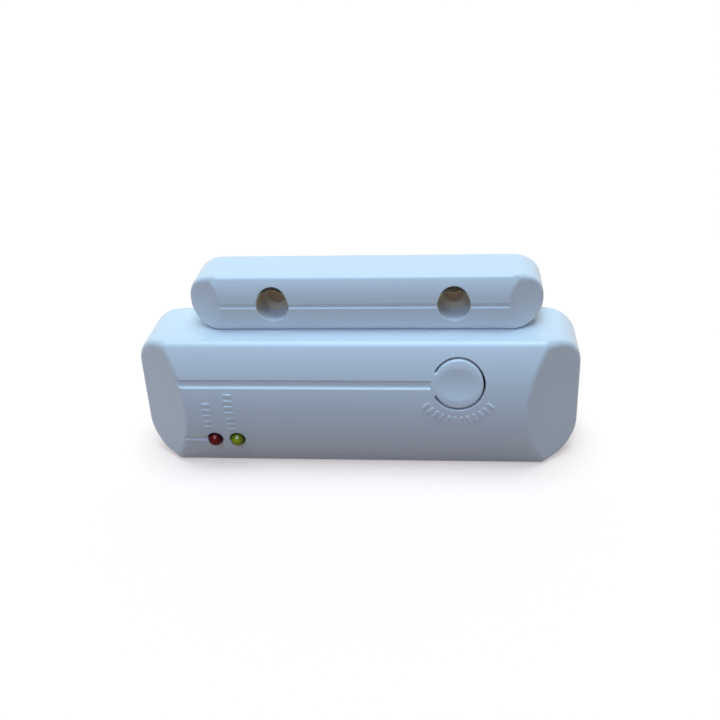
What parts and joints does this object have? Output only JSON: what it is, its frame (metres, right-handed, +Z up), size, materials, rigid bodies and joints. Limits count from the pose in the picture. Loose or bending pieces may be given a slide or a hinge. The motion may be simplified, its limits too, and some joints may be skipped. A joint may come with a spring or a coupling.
{
  "type": "magnetic door contact",
  "caption": "Wireless door contact: an arched white switch unit with a test button and lamps, and a small magnet unit with two screw recesses.",
  "frame": {"origin": "centre of the switch unit's back face, the face that is fixed to the door frame", "axes": "+X along the units to the button's end, +Y from the front into the door frame, +Z up from the switch unit to the magnet unit"},
  "size_m": [0.088, 0.0197, 0.0387],
  "materials": {
    "white_cover": "glossy white moulded ABS",
    "white_base": "plain white moulded ABS",
    "red_lens": "tinted clear epoxy",
    "green_lens": "tinted clear epoxy",
    "board": "green solder mask on laminate",
    "tinned_metal": "tinned or nickel-plated metal",
    "black_moulding": "black moulding compound",
    "glass": "clear glass tube",
    "battery_jacket": "plain satin jacket",
    "can": "bright drawn can",
    "resistor_body": "dark ceramic with solder caps",
    "magnet": "nickel-plated magnet"
  },
  "bodies": {
    "housing": {"switch_cover": "white_cover", "switch_base": "white_base", "red_led": "red_lens", "green_led": "green_lens", "led_leads": "tinned_metal", "circuit_board": "board", "button_switch_body": "black_moulding", "reed_glass": "glass", "reed_blades": "tinned_metal", "battery": "battery_jacket", "battery_plate_contact": "tinned_metal", "battery_spring_contact": "tinned_metal", "encoder_chip": "black_moulding", "resonator_can": "tinned_metal", "capacitor": "can", "antenna_loop": "tinned_metal", "resistors": "resistor_body", "magnet_cover": "white_cover", "magnet_base": "white_base", "bar_magnet": "magnet"},
    "button": {"test_button": "white_cover"},
    "plunger": {"button_switch_plunger": "black_moulding"}
  },
  "joints": [
    {"name": "button_press", "type": "hinge", "parent": "housing", "child": "button", "pos_m": [0.01577, -0.01718, 0.0059], "axis": [0, 0, 1], "range_deg": [0, 4], "stiffness_Nm_per_rad": 0.05},
    {"name": "plunger_slide", "type": "slide", "parent": "housing", "child": "plunger", "axis": [0, 1, 0], "range_m": [0, 0.000317], "stiffness_N_per_m": 3000}
  ],
  "couplings": [
    {"joint": "button_press", "follows": "plunger_slide", "rad_per_m": 220.2}
  ]
}
